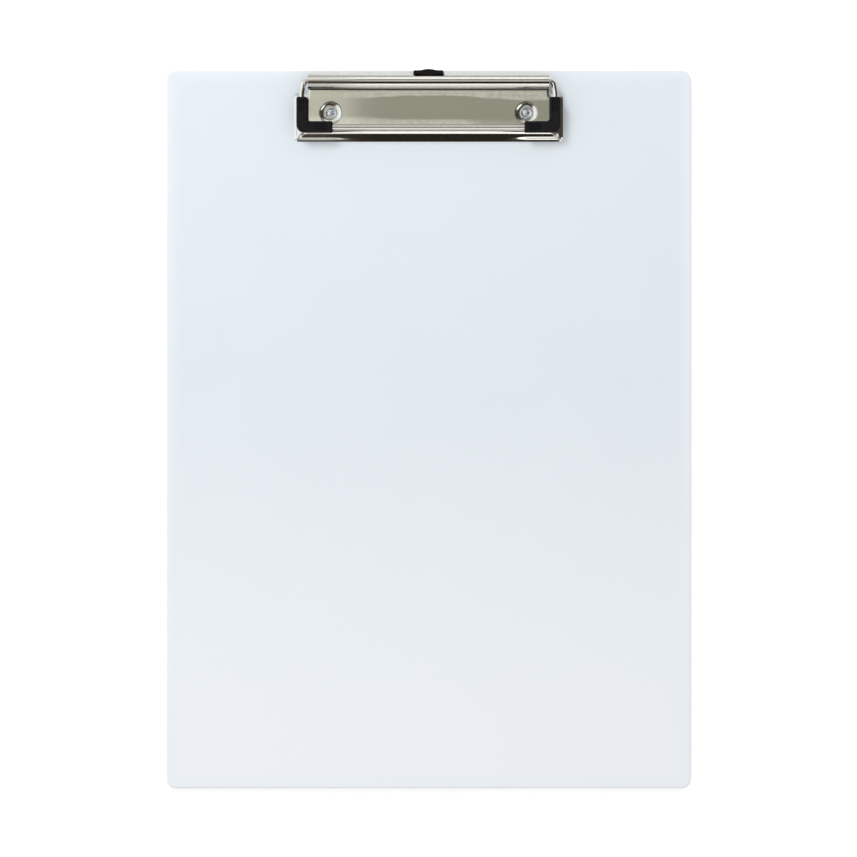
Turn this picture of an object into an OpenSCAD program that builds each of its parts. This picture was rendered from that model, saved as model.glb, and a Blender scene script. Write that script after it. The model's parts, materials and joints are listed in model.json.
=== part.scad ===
// Clipboard for A4 paper: a flat plastic board with a low sprung wire clip riveted to its top end.
// The clip is a nickel-plated steel plate whose rear edge is rolled into a tube. Two torsion
// springs in the tube press a wire lever, tipped with two rubber corners, down on the plate.
// Frame: the origin is the centre of the board's back face, +X points right, +Y points up the
// board to the clip and +Z points out of the front face. All sizes are in millimetres.

/* [Board] */
// Width of the board
board_w = 230; // [215:1:260]
// Height of the board
board_h = 315; // [300:1:360]
// Thickness of the board
board_t = 3; // [2.4:0.2:5]
// Radius of the board's corners
board_corner_r = 4; // [1:0.5:15]

/* [Clip plate] */
// Width of the clip plate over its side flanges
plate_w = 118; // [116:1:124]
// Distance from the board's top edge to the plate's front edge
plate_front = 31.1; // [30.6:0.1:33]
// Distance from the board's top edge to the rear end of the plate's ears
ear_back = 9.7; // [9.5:0.1:10.5]
// Height of the plate's flat top above the board
plate_rise = 2.9; // [2.7:0.1:3.2]
// Thickness of the steel sheet
sheet_t = 0.8; // [0.6:0.05:0.9]
// Outside radius of the bend between the flat top and the flanges
bend_r = 3; // [2:0.1:3.4]
// Slope of the flanges, in degrees below the flat top
flange_slope = 41; // [38:1:50]
// Radius of the plate's front corners in plan
front_corner_r = 1.8; // [0.5:0.1:3]
// Radius of the ears' rear corners in plan
ear_corner_r = 2.6; // [0.5:0.1:4]

/* [Rolled tube] */
// Length of the rolled tube, and width of the neck that carries it
roll_w = 105.2; // [104:0.1:106]
// Outside diameter of the rolled tube
roll_d = 7; // [6.8:0.1:7.4]
// Distance from the board's top edge to the tube's axis
roll_back = 5.2; // [5:0.1:5.4]

/* [Rivets] */
// Distance between the two rivets
rivet_spacing = 85.6; // [80:0.2:88]
// Distance from the board's top edge to the rivets
rivet_back = 19; // [18.5:0.1:20]
// Diameter of a rivet's shank
rivet_d = 4; // [3:0.1:4.4]
// Diameter of a rivet's flared front head
rivet_head_d = 5.6; // [5:0.1:6]
// Diameter of the dimple around a rivet, at the plate's flat top
dimple_d = 10.2; // [9.6:0.1:11]
// Diameter of the dimple's flat floor
dimple_floor_d = 7; // [6.4:0.1:7.4]

/* [Wire lever] */
// Diameter of the lever's wire
wire_d = 2.3; // [2:0.1:2.4]
// Distance from the tube's axis to the lever's front bar
lever_reach = 20.2; // [19.5:0.1:20.6]
// Half of the distance between the lever's side legs at the front
leg_front_x = 55.1; // [54.8:0.1:55.5]
// Half of the distance between the lever's side legs at the rear
leg_rear_x = 55.5; // [55.2:0.1:55.8]
// Fall of the lever towards its front bar, in degrees
lever_fall = 1.7; // [1.2:0.1:1.7]

/* [Rubber grips] */
// Thickness of a grip, above and below the wire together
grip_t = 4; // [3.4:0.1:4]
// Width of a grip's side leg
grip_side_w = 4.8; // [4:0.1:5]
// Width of a grip's front leg
grip_front_w = 5; // [4:0.1:5.2]
// Distance from the tube's axis to a grip's rear end
grip_rear = 7.1; // [6:0.1:8]
// Distance from the middle of the clip to a grip's inner end
grip_inner_x = 41.9; // [38:0.1:44]
// Radius of a grip's outer corner
grip_outer_r = 3.4; // [2.5:0.1:5]
// Radius of a grip's inner corner
grip_inner_r = 1.5; // [0.5:0.1:3]
// Number of grooves across a grip's leg
groove_count = 3; // [2:1:4]

/* [Springs] */
// Diameter of a spring's wire
spring_wire_d = 1.2; // [1:0.05:1.2]
// Number of turns in each spring
spring_turns = 24; // [12:1:24]

/* [Hanging hook] */
// Width of the hook's tongue and pull lip
hook_w = 13.2; // [12:0.1:13.4]
// Thickness of the hook's tongue
hook_t = 1.5; // [1:0.1:1.6]
// Distance that the hook slides out
hook_travel = 16; // [14:0.5:16]
// Height of the pull lip above the board
hook_lip_h = 5.6; // [4:0.1:6]

/* [Hidden] */
$fn = 64;

// small gaps between pieces that only touch or run in each other
seat_gap = 0.05;
run_gap = 0.1;
overlap = 1;

// the board's front face and top edge
face_z = board_t;
top_y = board_h / 2;

// the plate
plate_seat_z = face_z + seat_gap;
plate_top_z = face_z + plate_rise;
plate_h = plate_rise - seat_gap;
plate_front_y = top_y - plate_front;
ear_y = top_y - ear_back;
plate_mid_y = (plate_front_y + ear_y) / 2;
plate_half_y = (ear_y - plate_front_y) / 2;
flange_run = bend_r * sin(flange_slope) + (plate_h - bend_r * (1 - cos(flange_slope))) / tan(flange_slope);

// the rolled tube
roll_r = roll_d / 2;
roll_bore_r = roll_r - sheet_t;
roll_y = top_y - roll_back;
roll_z = plate_top_z - sheet_t + roll_r;
roll_free_edge = 180 + asin(roll_bore_r / roll_r) - 2;

// the rivets
rivet_x = rivet_spacing / 2;
rivet_y = top_y - rivet_back;
rivet_hole_r = rivet_d / 2 + seat_gap;
rivet_back_r = 4.1;
rivet_back_t = 0.85;
rivet_recess_r = 4.5;
rivet_recess_t = 1;
rivet_head_t = 0.65;
rivet_hollow_r = 1.7;
rivet_hollow_depth = 0.55;

// the wire lever, in its own plane: x across the clip, y back from the front bar to the axis
wire_r = wire_d / 2;
pin_inner_x = 17;
pin_outer_x = 54.5;
leg_rear_y = -5.7;
tang_slot_w = spring_wire_d + 0.15;
tang_slot_depth = 2.6;
rear_bend_r = 2.2;
leg_bend_r = 8;
front_bend_r = 3.2;
lever_half = [[pin_inner_x, 0], [pin_outer_x, 0], [leg_rear_x, leg_rear_y], [leg_front_x, -lever_reach]];
lever_bends = [0, rear_bend_r, leg_bend_r, front_bend_r];
collar_step = 0.02;
collar_l = 0.2;

// the rubber grips, in the lever's plane
grip_side_x = (leg_front_x + leg_rear_x) / 2;
groove_pitch = 1;
groove_w = 0.5;
groove_depth = 0.35;
groove_start = 0.9;
groove_side_l = 5.6;
groove_front_start = 2.2;
groove_front_l = 5.2;

// the springs, along the tube's axis
coil_r = wire_r + run_gap + spring_wire_d / 2;
coil_pitch = 1.3;
coil_steps = 12;
coil_sides = 6;
coil_start_x = pin_inner_x + tang_slot_depth / 2;
coil_end_x = coil_start_x + spring_turns * coil_pitch;
tang_hole_d = spring_wire_d + 0.3;

// the hanging hook
hook_gap = 0.15;
hook_guide_gap = 0.2;
hook_lip_front_y = top_y - 2.6;
hook_lip_t = 2.05;
hook_neck_w = 7;
hook_neck_l = 1.3;
hook_bulge_r = 8.84;
hook_bulge_t = 3.2;
hook_slot_l = 8;
hook_slot_w = 4.5;
hook_slot_y = top_y - 9.3;
hook_stop_w = 20;
hook_stop_l = 3;
guide_l = 2.7;
guide_front_y = roll_y - guide_l;
hook_stop_y = guide_front_y - hook_travel;
window_w = hook_w + 0.8;
window_y = hook_lip_front_y + hook_lip_t / 2 - hook_bulge_t / 2 - 0.4;

// direction of a vector, and the turn between two directions in degrees
function unit(v) = v / norm(v);
function turn(u, v) = acos(min(1, unit(u) * unit(v)));
function mirrored(path) = [for (i = [len(path) - 1:-1:0]) [-path[i].x, path[i].y]];
function reversed(list) = [for (i = [len(list) - 1:-1:0]) list[i]];

// a flat rectangle with round corners, centred on the origin
module rounded_rect(w, h, front_r, back_r) {
    for (s = [-1, 1]) {
        translate([s * (w / 2 - front_r), front_r - h / 2]) circle(front_r);
        translate([s * (w / 2 - back_r), h / 2 - back_r]) circle(back_r);
    }
    translate([-w / 2, front_r - h / 2]) square([w, h - front_r - back_r]);
    translate([front_r - w / 2, -h / 2]) square([w - 2 * front_r, h / 2]);
    translate([back_r - w / 2, 0]) square([w - 2 * back_r, h / 2]);
}

// what a round corner of radius r leaves out of a square corner at the origin
module corner_spandrel(r) {
    difference() {
        square(r);
        translate([r, r]) circle(r);
    }
}

// section across a tray turned upside down: a flat top at h, shoulders of radius r, sloping sides
module tray_section(half, h, r) {
    shoulder = half - (h - r * (1 - cos(flange_slope))) / tan(flange_slope);
    flat = shoulder - r * sin(flange_slope);
    shoulder_h = h - r * (1 - cos(flange_slope));
    intersection() {
        translate([-half, 0]) square([2 * half, h]);
        union() {
            polygon([[-half, 0], [-shoulder, shoulder_h], [-flat, h],
                     [flat, h], [shoulder, shoulder_h], [half, 0]]);
            for (s = [-1, 1]) translate([s * flat, h - r]) circle(r);
        }
    }
}

// the upside-down tray, inset on every side and lowered by the same amount
module tray(inset) {
    half_x = plate_w / 2 - inset / sin(flange_slope);
    half_y = plate_half_y - inset / sin(flange_slope);
    h = plate_h - inset;
    r = bend_r - inset;
    intersection() {
        translate([-half_x, 0, 0]) rotate([90, 0, 90])
            linear_extrude(2 * half_x) tray_section(half_y, h, r);
        translate([0, half_y, 0]) rotate([90, 0, 0])
            linear_extrude(2 * half_y) tray_section(half_x, h, r);
        linear_extrude(h) rounded_rect(2 * half_x, 2 * half_y, front_corner_r, ear_corner_r);
    }
}

// a straight bar across the clip, centred on x = 0
module bar_x(l, y0, y1, z0, z1) {
    translate([-l / 2, y0, z0]) cube([l, y1 - y0, z1 - z0]);
}

// a cylinder along X, centred on x = 0
module rod_x(l, r) {
    rotate([0, 90, 0]) cylinder(r = r, h = l, center = true);
}

// the sheet around one rivet: a cone down from the flat top to a floor on the board
module dimple() {
    floor_h = sheet_t;
    lean = (dimple_d - dimple_floor_d) / 2 / (plate_h - sheet_t);
    shift = sheet_t * sqrt(1 + lean * lean);
    floor_r = dimple_floor_d / 2;
    rotate_extrude() polygon([
        [rivet_hole_r, 0],
        [floor_r + shift - lean * floor_h, 0],
        [dimple_d / 2 + shift - lean * sheet_t, plate_h - sheet_t],
        [dimple_d / 2 + shift - lean * sheet_t, plate_h],
        [dimple_d / 2, plate_h],
        [floor_r, floor_h],
        [rivet_hole_r, floor_h]]);
}

// the rolled tube, open along the line where its free edge meets the plate
module rolled_tube() {
    sweep = 2 * roll_d;
    difference() {
        rod_x(roll_w, roll_r);
        rod_x(roll_w + overlap, roll_bore_r);
        translate([-roll_w, 0, 0]) rotate([90, 0, 90]) linear_extrude(2 * roll_w)
            polygon([[0, 0], sweep * [cos(roll_free_edge), sin(roll_free_edge)], [0, -sweep]]);
    }
}

// a round wire along a flat path, with a bend of its own radius at each inner point; a collar a
// hair thicker than the wire joins each straight length to its bend
module bent_wire(path, bends, d) {
    last = len(path) - 1;
    dirs = [for (i = [0:last - 1]) unit(path[i + 1] - path[i])];
    cut = [for (i = [0:last]) i == 0 || i == last ? 0 : bends[i] * tan(turn(dirs[i - 1], dirs[i]) / 2)];
    for (i = [0:last - 1]) {
        start = path[i] + dirs[i] * cut[i];
        l = norm(path[i + 1] - path[i]) - cut[i] - cut[i + 1];
        translate([start.x, start.y, 0]) rotate([0, 0, atan2(dirs[i].y, dirs[i].x)]) rotate([0, 90, 0]) {
            cylinder(d = d, h = l);
            if (i > 0) cylinder(d = d + collar_step, h = collar_l, center = true);
            if (i < last - 1) translate([0, 0, l])
                cylinder(d = d + collar_step, h = collar_l, center = true);
        }
    }
    for (i = [1:last - 1]) {
        u = dirs[i - 1];
        side = sign(u.x * dirs[i].y - u.y * dirs[i].x);
        centre = path[i] - u * cut[i] + side * bends[i] * [-u.y, u.x];
        translate([centre.x, centre.y, 0]) rotate([0, 0, atan2(-side * u.x, side * u.y)])
            mirror([0, side < 0 ? 1 : 0, 0]) rotate_extrude(angle = turn(u, dirs[i]))
                translate([bends[i], 0]) circle(d = d);
    }
}

// moves a shape from the lever's own plane to its place on the clip
module on_lever() {
    translate([0, roll_y, roll_z]) rotate([lever_fall, 0, 0]) children();
}

module lever_wire() {
    bent_wire(concat(lever_half, mirrored(lever_half)), concat(lever_bends, reversed(lever_bends)), wire_d);
}

// outline of the right-hand grip: a side leg and a front leg with round outer and inner corners
module grip_outline() {
    outer_x = grip_side_x + grip_side_w / 2;
    inner_x = outer_x - grip_side_w;
    front_y = -lever_reach - grip_front_w / 2;
    back_y = front_y + grip_front_w;
    difference() {
        union() {
            translate([inner_x, front_y]) square([grip_side_w, -grip_rear - front_y]);
            translate([grip_inner_x, front_y]) square([outer_x - grip_inner_x, grip_front_w]);
            translate([inner_x, back_y]) mirror([1, 0]) corner_spandrel(grip_inner_r);
        }
        translate([outer_x, front_y]) mirror([1, 0]) corner_spandrel(grip_outer_r);
    }
}

// grooves along both legs of the right-hand grip, cut into its top and bottom faces
module grip_grooves() {
    side_y = -grip_rear - groove_start - groove_side_l;
    front_x = grip_inner_x + groove_front_start;
    for (face = [-1, 1], i = [0:groove_count - 1]) {
        offset_w = (i - (groove_count - 1) / 2) * groove_pitch;
        z = face * grip_t / 2;
        translate([grip_side_x + offset_w - groove_w / 2, side_y, z - groove_depth])
            cube([groove_w, groove_side_l, 2 * groove_depth]);
        translate([front_x, offset_w - lever_reach - groove_w / 2, z - groove_depth])
            cube([groove_front_l, groove_w, 2 * groove_depth]);
    }
}

module right_grip() {
    on_lever() difference() {
        translate([0, 0, -grip_t / 2]) linear_extrude(grip_t) grip_outline();
        grip_grooves();
        lever_wire();
    }
}

// point k of the ring of points around the coil's wire at step i
function coil_point(i, k) =
    let (a = 270 + 360 * i / coil_steps, b = 360 * k / coil_sides, r = coil_r + spring_wire_d / 2 * cos(b))
    [coil_start_x + coil_pitch * i / coil_steps + spring_wire_d / 2 * sin(b), r * cos(a), r * sin(a)];

module coil() {
    steps = spring_turns * coil_steps;
    points = [for (i = [0:steps], k = [0:coil_sides - 1]) coil_point(i, k)];
    walls = [for (i = [0:steps - 1], k = [0:coil_sides - 1])
        let (a = i * coil_sides, next = (k + 1) % coil_sides)
        each [[a + k, a + next, a + coil_sides + k], [a + next, a + coil_sides + next, a + coil_sides + k]]];
    start_cap = [for (k = [coil_sides - 1:-1:0]) k];
    end_cap = [for (k = [0:coil_sides - 1]) steps * coil_sides + k];
    polyhedron(points, concat(walls, [start_cap, end_cap]));
}

// a torsion spring: a coil around the lever's pin, a tang across the pin's slotted end and a
// tang out through the tube's floor
module right_spring() {
    translate([0, roll_y, roll_z]) {
        coil();
        translate([coil_start_x, 0, -coil_r]) cylinder(d = spring_wire_d, h = 2 * coil_r);
        translate([coil_end_x, 0, run_gap - roll_r]) cylinder(d = spring_wire_d, h = roll_r - coil_r);
    }
}

module rivet(x) {
    shank_r = rivet_d / 2;
    head_z = plate_seat_z + sheet_t + seat_gap;
    head_top = head_z + rivet_head_t;
    flare = 0.25;
    translate([x, rivet_y, 0]) rotate_extrude() polygon([
        [0, seat_gap],
        [rivet_back_r - flare, seat_gap],
        [rivet_back_r, seat_gap + flare],
        [rivet_back_r, seat_gap + rivet_back_t],
        [shank_r, seat_gap + rivet_back_t],
        [shank_r, head_z],
        [rivet_head_d / 2, head_z],
        [rivet_head_d / 2, head_top - flare],
        [rivet_head_d / 2 - flare, head_top],
        [rivet_hollow_r + flare, head_top],
        [rivet_hollow_r, head_top - flare],
        [rivet_hollow_r, head_top - rivet_hollow_depth],
        [0, head_top - rivet_hollow_depth]]);
}

module board() {
    color([0.92, 0.94, 0.95]) difference() {
        linear_extrude(board_t) rounded_rect(board_w, board_h, board_corner_r, board_corner_r);
        for (s = [-1, 1]) translate([s * rivet_x, rivet_y, -overlap]) {
            cylinder(r = rivet_hole_r, h = board_t + 2 * overlap);
            cylinder(r = rivet_recess_r, h = rivet_recess_t + overlap);
        }
    }
}

module clip_plate() {
    flat_back_y = ear_y - flange_run;
    neck_bottom = plate_top_z - sheet_t;
    color([0.72, 0.71, 0.64]) difference() {
        union() {
            difference() {
                translate([0, plate_mid_y, plate_seat_z]) difference() {
                    tray(0);
                    translate([0, 0, -overlap]) linear_extrude(overlap)
                        square([plate_w, 2 * plate_half_y], center = true);
                    tray(sheet_t);
                }
                bar_x(roll_w, flat_back_y, ear_y + overlap, face_z, plate_top_z + overlap);
                for (s = [-1, 1]) translate([s * rivet_x, rivet_y, face_z])
                    cylinder(d = dimple_d + sheet_t, h = plate_rise + overlap);
            }
            bar_x(roll_w, flat_back_y, roll_y, neck_bottom, plate_top_z);
            for (s = [-1, 1]) translate([s * rivet_x, rivet_y, plate_seat_z]) dimple();
            translate([0, roll_y, roll_z]) rolled_tube();
            for (s = [-1, 1]) translate([s * (hook_w / 2 + hook_guide_gap + sheet_t / 2), 0, 0])
                bar_x(sheet_t, guide_front_y, roll_y, plate_seat_z + seat_gap, neck_bottom + sheet_t / 2);
        }
        bar_x(window_w, window_y, top_y, face_z, roll_z + roll_d);
        for (s = [-1, 1]) translate([s * coil_end_x, roll_y, face_z])
            cylinder(d = tang_hole_d, h = plate_rise + run_gap);
    }
}

module wire_lever() {
    color([0.78, 0.77, 0.72]) on_lever() difference() {
        lever_wire();
        for (s = [-1, 1]) translate([s * pin_inner_x, 0, 0])
            cube([2 * tang_slot_depth, tang_slot_w, 2 * wire_d], center = true);
    }
}

module grip_right() {
    color([0.10, 0.10, 0.11]) right_grip();
}

module grip_left() {
    color([0.10, 0.10, 0.11]) mirror([1, 0, 0]) right_grip();
}

module spring_right() {
    color([0.55, 0.56, 0.58]) right_spring();
}

module spring_left() {
    color([0.55, 0.56, 0.58]) mirror([1, 0, 0]) right_spring();
}

module rivet_right() {
    color([0.74, 0.76, 0.80]) rivet(rivet_x);
}

module rivet_left() {
    color([0.74, 0.76, 0.80]) rivet(-rivet_x);
}

module hanging_hook() {
    tongue_z = face_z + hook_gap;
    lip_mid_y = hook_lip_front_y + hook_lip_t / 2;
    neck_y = hook_lip_front_y - hook_neck_l;
    bulge_centre = hook_bulge_r - hook_bulge_t / 2;
    color([0.10, 0.08, 0.07]) {
        difference() {
            union() {
                bar_x(hook_w, hook_stop_y - overlap, neck_y, tongue_z, tongue_z + hook_t);
                bar_x(hook_neck_w, neck_y - overlap, lip_mid_y, tongue_z, tongue_z + hook_t);
                bar_x(hook_stop_w, hook_stop_y - hook_stop_l, hook_stop_y, tongue_z, tongue_z + hook_t);
            }
            translate([0, hook_slot_y, face_z]) {
                for (s = [-1, 1]) translate([s * (hook_slot_l - hook_slot_w) / 2, 0, 0])
                    cylinder(d = hook_slot_w, h = hook_t + overlap);
                bar_x(hook_slot_l - hook_slot_w, -hook_slot_w / 2, hook_slot_w / 2, 0, hook_t + overlap);
            }
        }
        bar_x(hook_w, hook_lip_front_y, hook_lip_front_y + hook_lip_t, tongue_z, face_z + hook_lip_h);
        translate([0, lip_mid_y, tongue_z]) intersection() {
            translate([0, bulge_centre, 0]) cylinder(r = hook_bulge_r, h = hook_lip_h - hook_gap);
            translate([0, -bulge_centre, 0]) cylinder(r = hook_bulge_r, h = hook_lip_h - hook_gap);
        }
    }
}

board();
clip_plate();
rivet_left();
rivet_right();
wire_lever();
grip_left();
grip_right();
spring_left();
spring_right();
hanging_hook();
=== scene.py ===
import json
import math

import bmesh
import bpy
from mathutils import Matrix, Vector
from mathutils.geometry import tessellate_polygon


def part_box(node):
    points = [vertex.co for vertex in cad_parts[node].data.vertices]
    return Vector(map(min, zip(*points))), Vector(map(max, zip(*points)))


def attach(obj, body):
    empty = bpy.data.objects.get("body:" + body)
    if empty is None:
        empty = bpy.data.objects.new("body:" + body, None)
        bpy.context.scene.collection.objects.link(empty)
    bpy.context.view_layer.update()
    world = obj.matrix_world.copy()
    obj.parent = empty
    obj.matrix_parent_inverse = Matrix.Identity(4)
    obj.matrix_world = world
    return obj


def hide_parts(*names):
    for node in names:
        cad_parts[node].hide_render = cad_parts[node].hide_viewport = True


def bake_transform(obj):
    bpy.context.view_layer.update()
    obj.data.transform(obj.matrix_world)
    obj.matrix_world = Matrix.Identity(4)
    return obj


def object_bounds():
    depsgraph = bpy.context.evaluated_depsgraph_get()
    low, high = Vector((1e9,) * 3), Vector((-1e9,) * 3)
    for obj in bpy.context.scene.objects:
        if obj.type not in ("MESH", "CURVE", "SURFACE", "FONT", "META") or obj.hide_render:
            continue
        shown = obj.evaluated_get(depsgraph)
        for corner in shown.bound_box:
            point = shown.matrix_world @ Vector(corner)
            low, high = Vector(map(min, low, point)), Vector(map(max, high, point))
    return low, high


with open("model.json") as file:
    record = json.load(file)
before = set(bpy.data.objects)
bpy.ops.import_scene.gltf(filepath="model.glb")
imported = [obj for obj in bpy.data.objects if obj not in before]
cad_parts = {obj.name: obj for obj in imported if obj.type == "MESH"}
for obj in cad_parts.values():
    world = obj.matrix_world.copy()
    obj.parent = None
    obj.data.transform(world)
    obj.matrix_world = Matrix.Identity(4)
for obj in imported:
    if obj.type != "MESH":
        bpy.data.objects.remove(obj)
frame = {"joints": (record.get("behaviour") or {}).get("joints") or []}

# The clipboard's looks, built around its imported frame: X to the right, Y up the board towards the
# clip, Z out of the board's front. Lengths are in millimetres until make_piece() turns a shell of
# points and faces into a mesh in metres. The floor, the light and the camera are in metres.

MM = 1000.0
cad_low, cad_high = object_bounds()


# ---- places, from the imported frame

def box_mm(node):
    low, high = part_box(node)
    return low * MM, high * MM


board_low, board_high = box_mm("board")
plate_low, plate_high = box_mm("clip_plate")
hook_low, hook_high = box_mm("hanging_hook")
rivet_low, rivet_high = box_mm("rivet_right")
hinge = next(joint for joint in frame["joints"] if joint["name"] == "lever_hinge")
axis = Vector(hinge["pos_m"]) * MM

# the clip plate: its sheet, with flanges that slope up to a flat top, and a tube rolled behind it
SHEET = 0.8
BEND_R = 3.0
SLOPE = math.radians(41)
ROLL_HALF = 52.6
ROLL_SWELL = 1.04
FRONT_LAP = 0.35
EAR_GAP = 4.5
roll_outer = min(plate_high.y - axis.y, plate_high.z - axis.z)
roll_inner = roll_outer - SHEET
top_z = axis.z - roll_inner
seat_z = plate_low.z
plate_h = top_z - seat_z
ear_y = axis.y - EAR_GAP
front_y = plate_low.y - FRONT_LAP
side_x = plate_high.x
rivet_x = (rivet_low.x + rivet_high.x) / 2
rivet_y = (rivet_low.y + rivet_high.y) / 2


# ---- small sums

def lerp(a, b, t):
    return a + (b - a) * t


def smoothstep(a, b, x):
    t = min(1.0, max(0.0, (x - a) / (b - a)))
    return t * t * (3 - 2 * t)


def smooth_max(a, b, k):
    """The greater of a and b, with a blend about k wide where they cross."""
    near = max(k - abs(a - b), 0.0) / k
    return max(a, b) + near * near * k / 4


def smooth_min(a, b, k):
    return -smooth_max(-a, -b, k)


def spread(start, end, count):
    return [lerp(start, end, i / count) for i in range(count + 1)]


def angles_round(count):
    """Even steps once round, in radians."""
    return spread(0.0, 2 * math.pi, count)[:-1]


# ---- shells of points and faces

SHARPEST_R = 0.02


class Shell:
    """Points in millimetres and the faces between them."""

    def __init__(self):
        self.points = []
        self.faces = []

    def ring(self, points):
        first = len(self.points)
        self.points.extend(Vector(p) for p in points)
        return list(range(first, len(self.points)))

    def bridge(self, a, b):
        for i in range(len(a)):
            j = (i + 1) % len(a)
            self.faces.append((a[i], a[j], b[j], b[i]))

    def skin(self, rings):
        for a, b in zip(rings, rings[1:]):
            self.bridge(a, b)

    def cap(self, outer, holes=()):
        loops = [outer, *holes]
        order = [i for loop in loops for i in loop]
        for corner in tessellate_polygon([[self.points[i] for i in loop] for loop in loops]):
            self.faces.append(tuple(order[k] for k in corner))

    def fan(self, ring, centre):
        tip = self.ring([centre])[0]
        for i in range(len(ring)):
            self.faces.append((ring[i], ring[(i + 1) % len(ring)], tip))

    def place(self, matrix):
        self.points = [matrix @ p for p in self.points]


def rectangle(x0, y0, x1, y1, r):
    """The corners of a rectangle for outline(), all with the same radius."""
    return [(x0, y0, r), (x1, y0, r), (x1, y1, r), (x0, y1, r)]


def left_of(u):
    return Vector((-u.y, u.x))


def turn_between(u, v):
    """The angle from direction u to direction v, anticlockwise."""
    return math.atan2(u.x * v.y - u.y * v.x, u.dot(v))


def corner_arc(corner, u, v, radius, count):
    """Points of the arc that rounds a corner, reached along u and left along v."""
    turn = turn_between(u, v)
    r = math.copysign(radius, turn)
    centre = corner - u * (r * math.tan(turn / 2)) + left_of(u) * r
    return [centre - Matrix.Rotation(turn * k / count, 2) @ left_of(u) * r for k in range(count + 1)]


def outline(corners, inset, segments):
    """Points round an anticlockwise polygon with round corners (x, y, radius), moved in by inset."""
    points = []
    count = len(corners)
    for i in range(count):
        before, here, after = (Vector(corners[k % count][:2]) for k in (i - 1, i, i + 1))
        u = (here - before).normalized()
        v = (after - here).normalized()
        corner = here + (left_of(u) + left_of(v)) * (inset / (1 + u.dot(v)))
        radius = corners[i][2] - math.copysign(1, turn_between(u, v)) * inset
        points += corner_arc(corner, u, v, max(radius, SHARPEST_R), segments)
    return points


def rounded_wall(low, high, r_low, r_high, steps=5, lead=0.3):
    """(inset, height) pairs up a slab's wall, with both edges rounded and a flat lead to each cap."""
    quarter = spread(0.0, math.pi / 2, steps)
    pairs = [(r_low + lead, low)]
    pairs += [(r_low * (1 - math.sin(a)), low + r_low * (1 - math.cos(a))) for a in quarter]
    pairs += [(r_high * (1 - math.cos(a)), high - r_high * (1 - math.sin(a))) for a in quarter]
    return pairs + [(r_high + lead, high)]


def swept_wall(shell, corners, pairs, segments):
    """Sweeps an outline up (inset, height) pairs, and gives the first and last ring."""
    rings = []
    for inset, z in pairs:
        rings.append(shell.ring([(p.x, p.y, z) for p in outline(corners, inset, segments)]))
    shell.skin(rings)
    return rings[0], rings[-1]


def slab(shell, corners, wall, segments, low_holes=(), high_holes=()):
    """A flat slab: a wall of (inset, height) pairs, closed at both ends but for the holes."""
    low, high = swept_wall(shell, corners, wall, segments)
    shell.cap(low, low_holes)
    shell.cap(high, high_holes)


def circle(x, y, z, r):
    """Points round a level circle."""
    return [(x + r * math.cos(a), y + r * math.sin(a), z) for a in angles_round(48)]


def sweep(shell, path, radius, sides, tip=0.25):
    """A round wire along a list of points, with a small chamfer at both ends."""
    path = [Vector(p) for p in path]
    first = path[0] + (path[1] - path[0]).normalized() * tip
    last = path[-1] + (path[-2] - path[-1]).normalized() * tip
    path = [path[0], first, *path[1:-1], last, path[-1]]
    radii = [radius - tip, *[radius] * (len(path) - 2), radius - tip]
    across = None
    rings = []
    for i, point in enumerate(path):
        ahead = path[min(i + 1, len(path) - 1)] - point
        behind = point - path[max(i - 1, 0)]
        along = (ahead.normalized() + behind.normalized()).normalized()
        if across is None:
            across = along.orthogonal().normalized()
        across = (across - along * across.dot(along)).normalized()
        other = along.cross(across)
        spokes = [across * math.cos(a) + other * math.sin(a) for a in angles_round(sides)]
        rings.append(shell.ring([point + spoke * radii[i] for spoke in spokes]))
    shell.skin(rings)
    shell.cap(rings[0])
    shell.cap(rings[-1])


def filleted(points, radii, step):
    """A flat path through the points, with an arc of its own radius at each inner one."""
    points = [Vector(p) for p in points]
    path = points[:1]
    for i in range(1, len(points) - 1):
        u = (points[i] - points[i - 1]).normalized()
        v = (points[i + 1] - points[i]).normalized()
        count = max(3, math.ceil(abs(turn_between(u, v)) / step))
        path += corner_arc(points[i], u, v, radii[i], count)
    path.append(points[-1])
    return [Vector((*p, 0)) for p in path]


def curve_join(start, bend, end, count=5):
    """Points from start to end, pulled towards bend."""
    start, bend, end = Vector(start), Vector(bend), Vector(end)
    steps = spread(0.0, 1.0, count)
    return [start * (1 - t) ** 2 + bend * (2 * t * (1 - t)) + end * t ** 2 for t in steps]


# ---- node materials

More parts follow.
